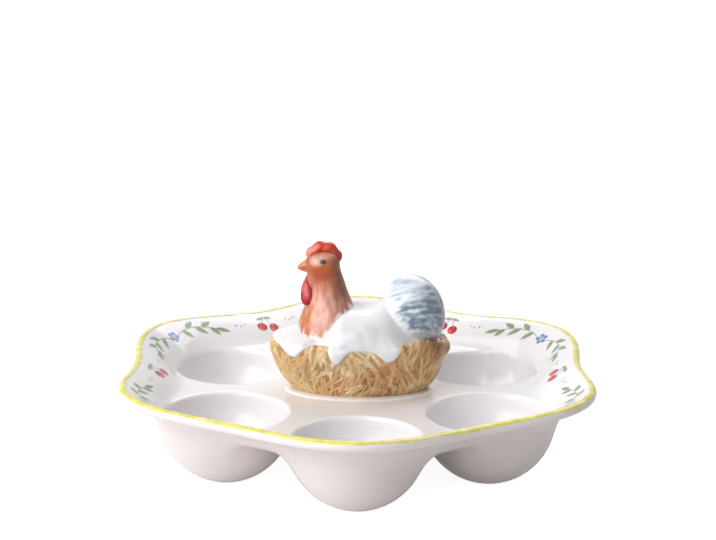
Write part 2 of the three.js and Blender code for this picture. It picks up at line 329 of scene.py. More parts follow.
glaze = glassy("white_glaze", white_glaze)
wall_turn = np.linspace(-math.pi / 2, wall_stop, wall_rows)
well_wall = np.c_[
    well_radius * np.cos(wall_turn), well_brim + (well_brim - well_floor) * np.sin(wall_turn)
]
well_way = np.array([-well_radius * math.sin(wall_stop), (well_brim - well_floor) * math.cos(wall_stop)])
well_way /= np.hypot(*well_way)
cup_turn = np.linspace(math.asin(foot_radius / cup_radius), cup_stop, cup_rows)
cup_wall = np.vstack([
    [(0, 0), (foot_flat, 0)],
    np.c_[cup_radius * np.sin(cup_turn), np.maximum(cup_centre - cup_radius * np.cos(cup_turn), 0)],
])
cup_way = np.array([math.cos(cup_stop), math.sin(cup_stop)])

inner_skin = sector_skin(
    sector_ends(roll_top[0]), inner_profile, well_wall, well_way, lip_width, lip_rows, deck_rows
)
under_skin = sector_skin(
    sector_ends(roll_under[0]), under_profile, cup_wall, cup_way, cup_fillet, fillet_rows, under_rows
)
rim_angle = np.linspace(-half_sector, half_sector, rim_columns)
roll_turn = np.linspace(roll_inside, roll_groove, roll_rows)
roll_ring = around(roll_centre, roll_radius, roll_turn)
roll_skin = scalloped(roll_ring[:, :1], roll_ring[:, 1:], rim_angle)
roll_skin[0] = inner_skin[-1, :rim_columns]
roll_skin[-1] = under_skin[-1, :rim_columns]

sector_patches = ((inner_skin, True), (under_skin, True), (roll_skin, False))
dish_patches = [(turned(skin, turn), closed) for turn in well_turns for skin, closed in sector_patches]
dish = make_piece("dish_casting", dish_patches, glaze)
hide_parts("dish")

# The plinth's rounded edge
# A low oval step of the same casting, on which the nest is luted with slip. The glaze pools along its foot
# and leaves a bright soft fillet all round the nest.
nest_centre = (nest_low[0] + nest_high[0]) / 2
nest_base, nest_crest = nest_low[2], nest_high[2]
nest_base_half = 30.5
base_ratio = 15.75 / nest_base_half
plinth_columns = 160
plinth_inside, plinth_brink = (-2, plinth_height), (3.4, plinth_height + 0.1)
fillet_top, fillet_turn, fillet_foot = (3.6, 0.35), (3.8, 0.02), (5.4, -0.05)


def all_round(columns):
    """Angles of a closed ring's columns."""
    return np.linspace(0, 2 * math.pi, columns, endpoint=False)


plinth_angle = all_round(plinth_columns)
plinth_plan = nest_base_half * np.c_[np.cos(plinth_angle), base_ratio * np.sin(plinth_angle)]
plinth_out = np.c_[base_ratio * np.cos(plinth_angle), np.sin(plinth_angle)]
plinth_out /= np.hypot(*plinth_out.T)[:, None]
plinth_edge = np.vstack([
    bow(plinth_inside, plinth_brink, fillet_top, 9), bow(fillet_top, fillet_turn, fillet_foot, 6)[1:],
])
plinth_ring = np.concatenate([
    plinth_plan + plinth_edge[:, :1, None] * plinth_out,
    np.repeat(deck_height + plinth_edge[:, 1:, None], plinth_columns, 1),
], -1) + (nest_centre, 0, 0)
make_piece("nest_plinth", [(plinth_ring, True)], glaze)

# The yellow line on the rim
# A line of overglaze enamel that the painter ran along the top of the rolled rim with a loaded brush while the
# plate turned, so that it swells, thins and pales along its length.
line_columns, line_rows = 720, 9
line_middle, line_half, line_stop = np.radians((80, 42, 122))
line_radius = roll_radius + 0.05
rim_ring = 100
swell_share, swell_length = 0.4, 13
drift_reach, drift_length = math.radians(12), 16


def fractal(points, size, seed=0):
    """Cloudy noise from about -1 to 1 at points, with patches of the given size in millimetres."""
    fall, finer, octaves = 1.0, 2.0, 3
    return np.array([
        noise.fractal(Vector(p) / size + Vector((seed, 0, 0)), fall, finer, octaves)
        for p in np.atleast_2d(points)
    ])


def mixed(first, second, share):
    """Linear colours between two, by a share for each point."""
    share = np.clip(np.asarray(share), 0, 1)[..., None]
    return first * (1 - share) + second * share


def coated(ground, *coats):
    """Paint for each point: a linear ground colour, and hex colours brushed over it in turn by their shares."""
    for colour, share in coats:
        ground = mixed(ground, linear(colour), share)
    return ground


# Overglaze enamel, a thin glassy paint that is brushed on and fired. The eye sees colour that deepens and pales
# in small pools, a soft gloss that follows them, and the faint unevenness of the brush.
def painted_enamel(name, pool_size, mottle, roughness):
    """The piece's own paint, varied by the share mottle in pools of so many millimetres."""
    def coat(tree, place):
        paint = add_node(tree, "ShaderNodeVertexColor", layer_name="paint").outputs["Color"]
        pool = add_node(tree, "ShaderNodeTexNoise", {
            "Vector": place, "Scale": per_metre(pool_size), "Detail": 4, "Roughness": 0.6,
        }).outputs["Fac"]
        strength = add_node(tree, "ShaderNodeMapRange", {
            "Value": pool, "From Min": 0.25, "From Max": 0.75, "To Min": 1 - mottle, "To Max": 1 + mottle,
        })
        colour = add_node(tree, "ShaderNodeMixRGB", {
            "Fac": 1.0, "Color1": paint, "Color2": strength.outputs["Result"],
        }, blend_type="MULTIPLY")
        gloss = add_node(tree, "ShaderNodeMapRange", {
            "Value": pool, "To Min": roughness * 0.7, "To Max": roughness * 1.4,
        })
        skin = add_node(tree, "ShaderNodeBump", {"Strength": 0.15, "Distance": 0.3 * MM, "Height": pool})
        return colour.outputs["Color"], gloss.outputs["Result"], skin.outputs["Normal"]

    return glassy(name, coat)


line_angle = all_round(line_columns)
line_track = rim_ring * np.c_[np.cos(line_angle), np.sin(line_angle), np.zeros(line_columns)]
line_swell = 1 + swell_share * fractal(line_track, swell_length)
line_drift = drift_reach * fractal(line_track, drift_length, 5)
line_across = np.linspace(-1, 1, line_rows)[:, None]
line_turn = line_middle + line_drift + line_across * line_half * line_swell
line_turn = np.minimum(line_turn, np.linspace(0.9, 1, line_rows)[:, None] * line_stop)
line_base = roll_centre[0] + line_radius * np.cos(line_turn)
line_height = roll_centre[1] + line_radius * np.sin(line_turn)
line_grid = turned(scalloped(line_base, line_height, line_angle - first_well), first_well)
line_wash = 0.3 + 0.7 * fractal(line_track, 5, 2) + 0.35 * np.abs(line_across) ** 3
make_piece(
    "rim_line", [(line_grid, True)], painted_enamel("yellow_rim_enamel", 3, 0.12, 0.2),
    coated(linear("#D9CC3E"), ("#EBE59A", line_wash.ravel())),
)

# Painted sprigs
# Small sprays of leaves, blossoms and berries in thin overglaze enamel, brushed by hand round the inside of the
# flange. One garland fills each lobe, with a pair of berries between neighbours. Places are millimetres along
# the rim from a lobe's middle, and in from the rim.
flange_step = np.hypot(np.diff(inner_profile[0]), np.diff(inner_profile[1]))
flange_run = np.concatenate([[0], np.cumsum(flange_step)])
flange_run = np.interp(roll_top[0], inner_profile[0], flange_run) - flange_run
sprig_lift = 0.07
leaf_green, leaf_deep = linear("#A6B596"), linear("#748E68")
stem_green = linear("#9BA986")
berry_red, berry_deep, berry_light = linear("#C9252C"), linear("#9A1A22"), linear("#E88078")
petal_blue, petal_pale = linear("#4F7FC0"), linear("#9DBBE0")
heart_yellow = linear("#E3C64A")
dot_lilac = linear("#A79DB5")
garland_stem, garland_stem_half = ((3.0, 9.0), (13, 3.5), (25, 9.0)), 0.22
garland_leaf_half, garland_leaf_bend = 1.4, 0.08
garland_leaves = [  # along, in, tilt and length
    (7.5, 6.9, 0.95, 6.6), (11.0, 6.2, -0.75, 6.4), (15.0, 6.0, 0.85, 7.0),
    (19.0, 6.7, -0.60, 6.2), (22.5, 7.9, 1.05, 5.8), (25.0, 9.0, 0.35, 6.4),
]
blossom_in, heart_radius = 8.8, 0.75
petal_count, petal_length, petal_half, petal_fullness = 5, 2.9, 1.25, 1.3
first_petal, petal_root = 0.3, 0.4
dot_radii, dot_start, dot_gap = (0.62, 0.54, 0.46), (35.5, 8.2), (2.3, 0.9)
berry_ends, berry_radius, berry_hang = ((-3.4, 11.0), (3.2, 9.4)), 2.7, 1.2
stalk_top, stalk_bend, stalk_half = 4.0, 6.5, 0.2
berry_leaf_in, berry_leaf_length, berry_leaf_half = 4.2, 4.6, 1.0


def on_flange(spots):
    """Points on the flange from mm along the rim and mm in from it, a little proud of the glaze."""
    def skin(spots):
        base = np.interp(-spots[..., 1], -flange_run, inner_profile[0])
        return scalloped(base, np.interp(base, *inner_profile), spots[..., 0] / rim_ring)

    probe = 0.1
    point = skin(spots)
    normal = np.cross(skin(spots + (0, probe)) - point, skin(spots + (probe, 0)) - point)
    normal /= np.linalg.norm(normal, axis=-1)[..., None]
    normal *= np.sign(normal[..., 2:])
    return point + sprig_lift * normal


def leaf_patch(root, heading, length, half_width, bend, fullness):
    """Plan of a brushed leaf or petal, as rows along it, and the share across and along."""
    along = shares(9)
    across = np.linspace(-1, 1, 5)
    outline = half_width * np.sin(math.pi * np.clip(along, 0.02, 0.98) ** fullness) ** 0.8
    ahead = along * length + 0 * across
    aside = across * outline + bend * length * along ** 2
    way = np.array([math.cos(heading), math.sin(heading)])
    side = np.array([-way[1], way[0]])
    spots = np.array(root) + ahead[..., None] * way + aside[..., None] * side
    return spots, np.abs(across) + 0 * along, along + 0 * across


def stem_patch(start, control, end, half_width):
    path = bow(start, control, end, 13)
    way = np.gradient(path, axis=0)
    side = np.c_[-way[:, 1], way[:, 0]] / np.hypot(*way.T)[:, None]
    return path[:, None] + np.array([-half_width, half_width])[:, None] * side[:, None]


def disc_patch(middle, radius):
    """Plan of a round dab, the share of the way out, and how far each point lies to its lit side."""
    lit_way = 0.8
    turn = np.linspace(0, 2 * math.pi, 17)
    ring = np.array([0, 0.5, 0.8, 1.0])[:, None]
    spots = np.stack([ring * np.cos(turn), ring * np.sin(turn)], -1) * radius
    return spots + np.array(middle), ring + 0 * turn, np.cos(turn - lit_way) * ring


sprig_grids, sprig_paint = [], []


def brush(spots, paint):
    sprig_grids.append(on_flange(spots))
    sprig_paint.append(np.broadcast_to(paint, (*spots.shape[:2], 3)).reshape(-1, 3))


def brush_leaf(root, heading, length, half_width, bend):
    spots, across, along = leaf_patch(root, heading, length, half_width, bend, 0.85)
    brush(spots, mixed(leaf_deep, leaf_green, 0.15 + 0.75 * along * (0.4 + 0.6 * across)))


for side in (-1, 1):
    stem = [(side * along, depth) for along, depth in garland_stem]
    brush(stem_patch(*stem, garland_stem_half), stem_green)
    for along, depth, tilt, length in garland_leaves:
        heading = tilt if side > 0 else math.pi - tilt
        brush_leaf((side * along, depth), heading, length, garland_leaf_half, garland_leaf_bend * side)
    for dot, radius in enumerate(dot_radii):
        spot = (side * (dot_start[0] + dot_gap[0] * dot), dot_start[1] + dot_gap[1] * (dot % 2))
        brush(disc_patch(spot, radius)[0], dot_lilac)
blossom = np.array([0, blossom_in])
for petal in range(petal_count):
    heading = 2 * math.pi * petal / petal_count + first_petal
    root = blossom + petal_root * np.array([math.cos(heading), math.sin(heading)])
    spots, across, along = leaf_patch(root, heading, petal_length, petal_half, 0, petal_fullness)
    brush(spots, mixed(petal_blue, petal_pale, 0.9 * (1 - along) + 0.3 * across - 0.25))
brush(disc_patch(blossom, heart_radius)[0], heart_yellow)
notch = rim_ring * half_sector
for aside, depth in berry_ends:
    stalk = [(notch, stalk_top), (notch + aside * 0.3, stalk_bend), (notch + aside, depth)]
    brush(stem_patch(*stalk, stalk_half), stem_green)
    spots, ring, lit = disc_patch((notch + aside, depth + berry_hang), berry_radius)
    shade = mixed(berry_red, berry_deep, 0.9 * ring ** 3 - 0.5 * lit)
    brush(spots, mixed(shade, berry_light, 6 * (lit - 0.25) * (1 - ring)))
for heading, bend in ((2.75, 0.1), (0.35, -0.1)):
    brush_leaf((notch, berry_leaf_in), heading, berry_leaf_length, berry_leaf_half, bend)
sprig_patches = [(turned(grid, turn), False) for turn in well_turns for grid in sprig_grids]
make_piece(
    "painted_sprigs", sprig_patches, painted_enamel("sprig_enamel", 1.5, 0.18, 0.2),
    np.tile(np.vstack(sprig_paint), (well_count, 1)),
)

# The straw nest
# An oval bowl of clay, scored all over with a wooden tool into short crossing straws, luted to the plinth and
# painted in ochres under a clear glaze. The brown in its cuts is partly wash pooled there and partly painted shade.
nest_columns = 480
straw_room = 0.3
belly_half = (nest_high[0] - nest_low[0]) / 2 - straw_room
belly_height = nest_base + 18
wall_bulge, crest_roll = 7.2, 1.2
crest_half = 37.75
crest_inside = (crest_half - 4, nest_crest - 3)
top_ratio = 24.5 / 40.75
straw_count, straw_relief, straw_seed = 920, 0.9, 11
straw_half_length, straw_half_width = (3.0, 8.0), (0.45, 1.0)
straw_waves, straw_tilt, straw_scatter = 3, 42, 22
knob_bands, knob_spread = ((0.2, 4, 2.6), (-1.3, 10, 3)), 0.5  # mm out, mm below the crest, spread
crest_waves = ((2.8, 45, 23, 2), (-1.2, 0, 15, 2), (1.7, 119, 8, 4))  # mm up, degrees from the tail, spread, power
crest_wave_drop = 9
middle_half = (39, 23)
nest_foot, nest_belly = (nest_base_half, nest_base - seam), (belly_half, belly_height)
nest_top = (crest_half, nest_crest)
nest_wall = bow(nest_foot, (crest_half, nest_base + wall_bulge), nest_belly, 50)
nest_round = bow(nest_belly, (belly_half + crest_roll, nest_crest), nest_top, 18)
nest_inside = bow(nest_top, (crest_half - 2, nest_crest), crest_inside, 5)
nest_profile = np.vstack([nest_wall, nest_round[1:], nest_inside[1:]])
nest_run = np.concatenate([[0], np.cumsum(np.hypot(*np.diff(nest_profile, axis=0).T))])
round_run = nest_run[len(nest_wall) + len(nest_round) - 2]


def on_nest(half, height, angle):
    """Points of the nest's oval, whose width changes from its base to its belly."""
    ratio = base_ratio + (top_ratio - base_ratio) * smoothstep(height, nest_base, belly_height)
    return np.stack([
        nest_centre + half * np.cos(angle), half * ratio * np.sin(angle), height + 0 * angle
    ], -1)


def outward(grid):
    """Outward directions of a grid whose rows run up and whose columns run round."""
    up = np.gradient(grid, axis=0)
    wrapped = np.concatenate([grid[:, -1:], grid, grid[:, :1]], 1)
    way = np.cross(np.gradient(wrapped, axis=1)[:, 1:-1], up)
    return way / np.maximum(np.linalg.norm(way, axis=-1), 1e-9)[..., None]


def straw_field(around_run, girth, up_run):
    """Relief and tone of crossing straws laid on an unrolled surface, both from 0 to 1."""
    dice = np.random.default_rng(straw_seed)
    relief = np.zeros((len(up_run), len(around_run)))
    tone = np.full_like(relief, 0.3)
    below, drift, end_length = 3, 0.12, 1.2
    for _ in range(straw_count):
        middle = dice.uniform(0, girth)
        level = dice.uniform(-below, up_run[-1])
        lean = math.sin(straw_waves * 2 * math.pi * middle / girth + drift * level)
        heading = math.radians(90 - straw_tilt * lean + dice.normal(0, straw_scatter))
        half_length, half_width = dice.uniform(*straw_half_length), dice.uniform(*straw_half_width)
        layer, shade, curl = dice.uniform(0, 1), dice.uniform(0, 1), dice.uniform(-0.02, 0.02)
        east = (around_run - middle + girth / 2) % girth - girth / 2
        north = (up_run - level)[:, None]
        ahead = east * math.cos(heading) + north * math.sin(heading)
        aside = north * math.cos(heading) - east * math.sin(heading) + curl * ahead ** 2
        end = np.clip((half_length - np.abs(ahead)) / end_length, 0, 1)
        raised = (0.35 + 0.65 * layer) * np.sqrt(np.clip(1 - (aside / half_width) ** 2, 0, 1)) * end
        above = raised > relief
        relief[above] = raised[above]
        tone[above] = shade
    return relief, tone


nest_angle = all_round(nest_columns)
nest_grid = on_nest(nest_profile[:, :1], nest_profile[:, 1:], nest_angle)
from_crest = nest_crest - nest_profile[:, 1:]
from_tail = np.pi - np.abs(nest_angle - np.pi)
knob = sum(out * np.exp(-((from_crest - at) / spread) ** 2) for out, at, spread in knob_bands)
knob = knob * np.exp(-(from_tail / knob_spread) ** 2)
nest_grid = nest_grid + knob[..., None] * outward(nest_grid)
crest_rise = sum(
    rise * np.exp(-((np.degrees(from_tail) - at) / spread) ** power) for rise, at, spread, power in crest_waves
)
nest_grid[..., 2] += crest_rise * (1 - smoothstep(from_crest, 0, crest_wave_drop))
middle_oval = np.c_[np.cos(nest_angle), np.sin(nest_angle)] * middle_half
oval_step = np.hypot(*(np.roll(middle_oval, -1, 0) - middle_oval).T)
nest_around = np.concatenate([[0], np.cumsum(oval_step)[:-1]])
straw, straw_tone = straw_field(nest_around, oval_step.sum(), nest_run)
straw_fade = smoothstep(nest_run, 0, 1.5) * (1 - smoothstep(nest_run, round_run - 1, round_run + 2))
straw_height = (straw - 0.45) * straw_relief * straw_fade[:, None]
nest_grid = nest_grid + straw_height[..., None] * outward(nest_grid)
nest_points = nest_grid.reshape(-1, 3)
nest_cloud = fractal(nest_points, 9, 3)
nest_patch = smoothstep(fractal(nest_points, 14, 5), -0.05, 0.35)
dark_straw = mixed(linear("#BA8446"), linear("#CAA970"), nest_patch)
pale_straw = mixed(linear("#EBC793"), linear("#EFDCB0"), nest_patch)
# Brown in the cuts between the straws: partly pooled wash, partly painted shade in the recesses.
cut_wash_and_shade = 1 - smoothstep(straw.ravel(), 0.05, 0.5)
# Darker brown over the top of the nest's tail end, under the tail: partly the nest's paint, partly painted shade.
tail_end_brown_and_shade = smoothstep(nest_points[:, 0], 24, 40) * smoothstep(nest_points[:, 2] - nest_base, 11, 20)
nest_paint = coated(
    mixed(dark_straw, pale_straw, straw_tone.ravel()),
    ("#BD8A4C", 0.1 + 0.75 * nest_cloud),
    ("#E0BC84", 0.55 * smoothstep(-nest_points[:, 0], 4, 26)),
    ("#85521F", (0.45 + 0.5 * nest_cloud) * cut_wash_and_shade),
    ("#80491A", 0.85 * tail_end_brown_and_shade * (0.7 + nest_cloud)),
)
nest = make_piece(
    "straw_nest", [(nest_grid, True)], painted_enamel("straw_enamel", 2.5, 0.15, 0.22),
    nest_paint,
)
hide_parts("nest")

# The hen's body
# A white clay body pressed down into the nest. Its feathers are modelled as thick soft tongues that lap over
# the nest's crest, and it is left in bare white glaze with a few pale grey strokes and painted shade low on its
# sides.
body_columns, body_rows, lap_rows = 360, 56, 22
lap_thickness = 1.9
lap_sink = 1.6
lap_tuck, body_sink = 1.2, 6
crease_passes = 14
body_ridge = np.array([  # mm along the hen, and mm over the crest
    (-40, 0), (-33.5, 0.9), (-27.5, 2.0), (-16.5, 3.0), (-12.5, 9.2), (-9, 12.0), (-3, 12.8), (6, 12.6),
    (10, 12.2), (14, 9.4), (18, 5.4), (22, 2.8), (28, 1.6), (35, 1.0), (40, 0),
])
ridge_blur = 1.4
hump_fullness = 0.58
shoulder, shoulder_rise = (-4.0, 10.5), 1.1
shoulder_ahead, shoulder_behind, shoulder_across = 7, 15, 6
tail_seat, tail_seat_half = 25.4, (14.4, 12.8)
tail_root_rise, tail_root_reach = 5.0, 9.0
feather_edge = np.array([  # degrees from the tail, and mm down from the crest
    (0, 0.2), (56, 0.2), (60, 0.8), (64, 3.5), (67, 6.0), (71, 7.6), (74, 7.0), (78, 4.0), (81, 2.4), (90, 2.2),
    (97, 2.4), (100, 5.0), (103, 8.2), (106, 9.4), (108.5, 6.5), (110.5, 2.2), (113, 0.5), (125, 0.5), (128, 2.4),
    (131.5, 5.6), (135, 7.2), (139, 6.6), (145, 4.6), (153, 2.8), (180, 1.8),
])
feather_blur, feather_blur_reach = 1.8, 9
edge_rises = np.array([  # degrees from the tail, and the edge's rise over the crest
    (44, -lap_sink), (66, 1.7), (108, lap_thickness), (113, 0.5), (125, 0.5), (132, lap_thickness),
])


def on_crest(run, angle):
    """Points of the nest's outside, by the way down from the crest's top, for each angle."""
    down = nest_profile[:len(nest_wall) + len(nest_round) - 1][::-1]
    down_run = round_run - nest_run[:len(down)][::-1]
    half = np.interp(run, down_run, down[:, 0])
    height = np.interp(run, down_run, down[:, 1])
    return on_nest(half, height, angle)


def hump_at(ahead, aside):
    """Height of the back over the crest, from the shares of the way to the oval's end and to its side."""
    along, across = nest_centre + crest_half * ahead, np.abs(crest_half * top_ratio * aside)
    ridge = np.interp(along, *softened(body_ridge, ridge_blur))
    inside = np.clip(1 - aside ** 2 / np.maximum(1 - ahead ** 2, 1e-9), 0, 1)
    shoulder_length = np.where(along > shoulder[0], shoulder_behind, shoulder_ahead)
    shoulder_far = np.hypot((along - shoulder[0]) / shoulder_length, (across - shoulder[1]) / shoulder_across)
    seat_far = np.hypot((along - tail_seat) / tail_seat_half[0], across / tail_seat_half[1])
    tail_gap = np.maximum(seat_far - 1, 0) * tail_seat_half[1]
    tail_root = np.clip(1 - tail_gap / tail_root_reach, 0, 1) ** 2 * np.sqrt(inside)
    tail_root = tail_root * (1 - smoothstep(along, tail_seat - tail_seat_half[0], tail_seat))
    shoulder_bump = shoulder_rise * np.exp(-shoulder_far ** 2)
    return ridge * inside ** hump_fullness + shoulder_bump + tail_root_rise * tail_root


def clear_of_body(points):
    """How far points lie above the hen's back, in millimetres."""
    ahead = np.clip((points[:, 0] - nest_centre) / crest_half, -1, 1)
    aside = points[:, 1] / (crest_half * top_ratio)
    return points[:, 2] - nest_crest - lap_thickness - hump_at(ahead, aside)


body_angle = np.linspace(-math.pi, math.pi, body_columns, endpoint=False)
body_degrees = np.degrees(np.abs(body_angle))
fine_degrees = np.arange(0, 181)
edge_run = np.interp(fine_degrees, *feather_edge.T)
edge_weight = np.exp(-0.5 * (np.arange(-feather_blur_reach, feather_blur_reach + 1) / feather_blur) ** 2)
edge_run = np.convolve(np.pad(edge_run, feather_blur_reach, "reflect"), edge_weight / edge_weight.sum(), "valid")
lap_end = np.interp(body_degrees, fine_degrees, edge_run)
share = shares(body_rows)
crest_oval = on_nest(crest_half * share, np.full_like(share, nest_crest), body_angle)
edge_rise = np.interp(body_degrees, *edge_rises.T)
hump = lap_thickness + (edge_rise - lap_thickness) * smoothstep(share, 0.75, 1)
hump = hump + hump_at(share * np.cos(body_angle), share * np.sin(body_angle))
lap_share = shares(lap_rows)[1:] ** 0.8
lap_base = on_crest(lap_share * lap_end, body_angle)
lap_way = -outward(np.concatenate([crest_oval[-2:-1], lap_base]))[1:]
lap_depth = np.maximum(edge_rise, 0) * np.sqrt(np.clip(1 - lap_share ** 5, 0, 1))
over_grid = np.concatenate([crest_oval, lap_base + lap_depth[..., None] * lap_way])
over_grid[..., 2] += np.concatenate([hump, np.minimum(edge_rise, 0) + 0 * lap_depth])
for _ in range(crease_passes):
    over_grid[1:-6] = (over_grid[:-7] + 2 * over_grid[1:-6] + over_grid[2:-5]) / 4
inner_grid = np.stack([
    on_crest(lap_end * 0.9, body_angle) - lap_tuck * lap_way[-1],
    np.broadcast_to((nest_centre, 0, nest_crest - body_sink), (body_columns, 3)),
])
body_grid = np.concatenate([over_grid, inner_grid])
body_points = body_grid.reshape(-1, 3)
body_along, body_up = body_points[:, 0], body_points[:, 2] - nest_crest
body_cloud = fractal(body_points * (1, 1, 0.4), 5, 8)
# Grey low on the body's sides, where they turn from the light: partly pale grey brushwork, partly painted shade.
wing_grey_and_shade = smoothstep(body_along, -14, -4) * (1 - smoothstep(body_up, 9, 13))
wing_grey_and_shade = wing_grey_and_shade * (1 - smoothstep(body_along, 6, 14))
body_paint = coated(
    linear("#EDECEE"), ("#CFD2D9", 0.7 * (body_cloud - 0.2)), ("#D3D5D9", wing_grey_and_shade * (0.5 + 0.5 * body_cloud)),
)
body = make_piece(
    "hen_body_form", [(body_grid, True)], painted_enamel("white_body_glaze", 6, 0.03, 0.14),
    body_paint,
)
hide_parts("hen_body")

# The hen's neck and head
# Modelled by hand in one roll of clay and luted to the body. The hackle is brushed on in orange and brown
# strokes over pink, with a pale patch and a dark lid at each eye.
neck_columns, neck_rows = 96, 110
neck_stations = np.array([  # mm over the crest, front and back along the hen, and half width
    (-1.6, -25, 3, 17), (2.5, -26.5, 3, 18.2), (7.4, -27, 2, 15.6), (15.2, -24.3, -1.9, 11.6),
    (24.7, -22.7, -5.4, 8.9), (31.7, -23.8, -7.7, 8.2), (36.2, -23.9, -8.4, 7.8), (39.6, -21.6, -9.6, 5.8),
    (41.2, -17, -14, 1.6),
])
throat = 0.3
hackle_depth, hackle_width = 0.13, 2.6
eye_along, eye_up = -16.3, 37.0


def strung(stations, count):
    """Rows of a smooth curve through the stations, with count rows."""
    ends = np.vstack([2 * stations[0] - stations[1], stations, 2 * stations[-1] - stations[-2]])
    level = np.linspace(0, len(stations) - 1, count)
    first = np.minimum(level.astype(int), len(stations) - 2)
    t = (level - first)[:, None]
    a, b, c, d = (ends[first + step] for step in range(4))
    return b + 0.5 * t * (c - a + t * (2 * a - 5 * b + 4 * c - d + t * (3 * (b - c) + d - a)))


neck_angle = all_round(neck_columns)
neck_height, neck_front, neck_back, neck_width = strung(neck_stations, neck_rows).T[..., None]
slim = throat * smoothstep(neck_height, 8, 18)
neck_grid = np.stack([
    (neck_front + neck_back) / 2 + (neck_back - neck_front) / 2 * np.cos(neck_angle),
    neck_width * np.sin(neck_angle) * (1 - slim * ((1 - np.cos(neck_angle)) / 2) ** 2),
    nest_crest + neck_height + 0 * neck_angle,
], -1)
hackle = fractal(neck_grid.reshape(-1, 3) * (1, 1, 0.22), hackle_width, 1).reshape(neck_rows, neck_columns)
hackle = hackle * hackle_depth * (1 - smoothstep(neck_height, 20, 30))
neck_grid = neck_grid + hackle[..., None] * outward(neck_grid)
crown = np.broadcast_to(neck_grid[-1].mean(0), (1, neck_columns, 3))
neck_grid = np.concatenate([neck_grid, crown])
neck_points = neck_grid.reshape(-1, 3)
along, up = neck_points[:, 0], neck_points[:, 2] - nest_crest
streak = fractal(neck_points * (1, 1, 0.15), 2.2, 4)
smudge = fractal(neck_points, 6, 6)


def dab(middle, height, stretch, full, gone):
    """Share of an oval dab of paint on the head, full near its middle and gone past its edge."""
    return 1 - smoothstep(np.hypot((along - middle) / stretch, up - height), full, gone)


front_edge = smoothstep(-along, 17, 25) * (1 - smoothstep(up, 14, 24))
back_bars = smoothstep(along, -13, -9) * smoothstep(np.sin(up * 1.25), 0.2, 0.8) * smoothstep(up, 25.6, 28.6)
nape = smoothstep(along, -13, -7.5) * smoothstep(up + 2 * streak, 14, 24)
feathered = 1 - smoothstep(clear_of_body(neck_points) + 3.5 * streak, 0.2, 1.6)
collar = smoothstep(along + 7.7 - 0.55 * (up - 15.6) + 2.5 * streak, -0.6, 0.9)
feathered = np.maximum(feathered, collar * (1 - smoothstep(up + 3 * streak, 14.6, 16.4)))
neck_paint = coated(
    linear("#E0AB99"),
    ("#BF7450", 0.3 + 1.1 * streak),
    ("#B57A5C", smoothstep(along, -15, -5) * (0.7 + 0.5 * streak)),
    ("#C06A2E", 0.9 * front_edge * (0.9 + 0.6 * streak)),
    ("#B55F3A", smoothstep(up, 20, 29) * (0.85 + 0.4 * smudge)),
    ("#A8441C", 0.85 * dab(-17, 31.6, 1.7, 1, 4.5)),  # cheek
    ("#9A4A2A", 0.55 * back_bars),
    ("#DDB5A2", 0.8 * dab(eye_along - 3.0, eye_up - 0.3, 1.3, 0.4, 3.0)),  # pale patch ahead of the eye
    ("#BC6426", 0.7 * dab(-13.6, 33.6, 1.4, 0.4, 3.2)),  # ear
    ("#7C3618", 0.85 * nape),
    ("#45200F", 0.85 * dab(eye_along + 0.5, eye_up, 1.6, 0.7, 1.4)),  # lid
    ("#CF9C7E", 0.6 * dab(-12.5, 39.6, 2.4, 0.4, 2.6)),  # brow
    ("#ECE6E3", 0.85 * feathered),
)
neck = make_piece(
    "hen_neck_form", [(neck_grid, True)], painted_enamel("hackle_enamel", 3, 0.1, 0.2),
    neck_paint,
)
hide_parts("hen_neck")

# The comb
# A low wavy crest of clay pinched along the top of the head and luted there. It is painted red, paler between its
# points and towards the beak, and deeper at its back.
comb_rows, comb_columns = 120, 40
comb_centre = (-15.8, nest_crest + 36)
comb_radius, comb_root = 9.5, 4.4
comb_waves, comb_wave = 4, 0.3
comb_half = 4.2
comb_blunt = 0.15
comb_turn = np.radians(np.linspace(168, -2, comb_rows))[:, None]
comb_share = shares(comb_rows)
comb_dip = np.cos(2 * math.pi * comb_waves * comb_share)
comb_section = all_round(comb_columns)
comb_top = comb_radius - comb_wave * (1 + comb_dip)
comb_taper = np.sin(math.pi * np.clip(comb_share, 0.004, 0.996)) ** comb_blunt
comb_out = (comb_top + comb_root) / 2 + (comb_top - comb_root) / 2 * comb_taper * np.sin(comb_section)
comb_grid = np.stack([
    comb_centre[0] + comb_out * np.cos(comb_turn),
    comb_half * comb_taper * np.cos(comb_section) * (0.8 - 0.2 * np.sin(comb_section)),
    comb_centre[1] + comb_out * np.sin(comb_turn),
], -1)
comb_points = comb_grid.reshape(-1, 3)
comb_light = np.repeat(0.5 + 0.5 * comb_dip, comb_columns)
comb_paint = coated(
    linear("#CE301C"),
    ("#E3644A", 0.5 * comb_light + 0.5 * fractal(comb_points, 3)),
    ("#E59A92", 0.7 * (1 - smoothstep(comb_points[:, 0], -24, -17))),
    ("#A81A0C", 0.8 * smoothstep(comb_points[:, 0], -14, -8)),
)
comb = make_piece(
    "hen_comb_form", [(comb_grid, True)], painted_enamel("comb_enamel", 2.5, 0.12, 0.16),
    comb_paint,
)
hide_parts("hen_comb")

